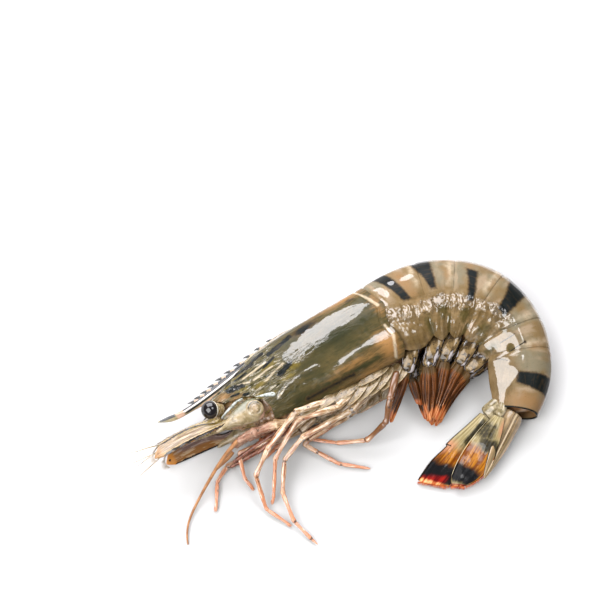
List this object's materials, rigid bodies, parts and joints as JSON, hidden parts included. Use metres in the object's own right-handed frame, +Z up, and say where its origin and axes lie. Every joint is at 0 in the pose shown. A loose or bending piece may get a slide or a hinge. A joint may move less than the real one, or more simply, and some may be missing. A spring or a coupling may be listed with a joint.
{
  "type": "raw tiger prawn",
  "caption": "Whole raw banded prawn lying curled on its right side, with a toothed rostrum, feelers, walking and swimming legs, overlapping shell rings and a banded tail fan.",
  "frame": {"origin": "middle of the footprint, on the ground the prawn rests on", "axes": "+Z up, +X along the length from the rostrum's tip towards the curled abdomen, +Y towards the back of the abdomen; the left side faces up"},
  "size_m": [0.1224, 0.0852, 0.022],
  "materials": {
    "shell": "wet gloss",
    "limb": "satin",
    "swimmer": "wet gloss",
    "fan": "wet gloss",
    "eye": "high gloss"
  },
  "bodies": {
    "root": {"carapace": "shell", "abdomen_1": "shell", "abdomen_2": "shell", "abdomen_3": "shell", "abdomen_4": "shell", "abdomen_5": "shell", "abdomen_6": "shell", "antennal_scale_left": "shell", "antennal_scale_right": "shell", "thorax": "limb", "head": "limb", "antennule_left": "limb", "antennule_right": "limb", "antenna_left": "limb", "antenna_right": "limb", "maxilliped_left": "limb", "maxilliped_right": "limb", "leg_left_1": "limb", "leg_left_2": "limb", "leg_left_3": "limb", "leg_left_4": "limb", "leg_left_5": "limb", "leg_right_1": "limb", "leg_right_2": "limb", "leg_right_3": "limb", "leg_right_4": "limb", "leg_right_5": "limb", "pleopod_left_1": "swimmer", "pleopod_left_2": "swimmer", "pleopod_left_3": "swimmer", "pleopod_left_4": "swimmer", "pleopod_left_5": "swimmer", "pleopod_right_1": "swimmer", "pleopod_right_2": "swimmer", "pleopod_right_3": "swimmer", "pleopod_right_4": "swimmer", "pleopod_right_5": "swimmer", "telson": "fan", "uropod_base_left": "fan", "uropod_base_right": "fan", "uropod_outer_left": "fan", "uropod_outer_right": "fan", "uropod_inner_left": "fan", "uropod_inner_right": "fan", "eye_left": "eye", "eye_right": "eye"}
  },
  "joints": []
}
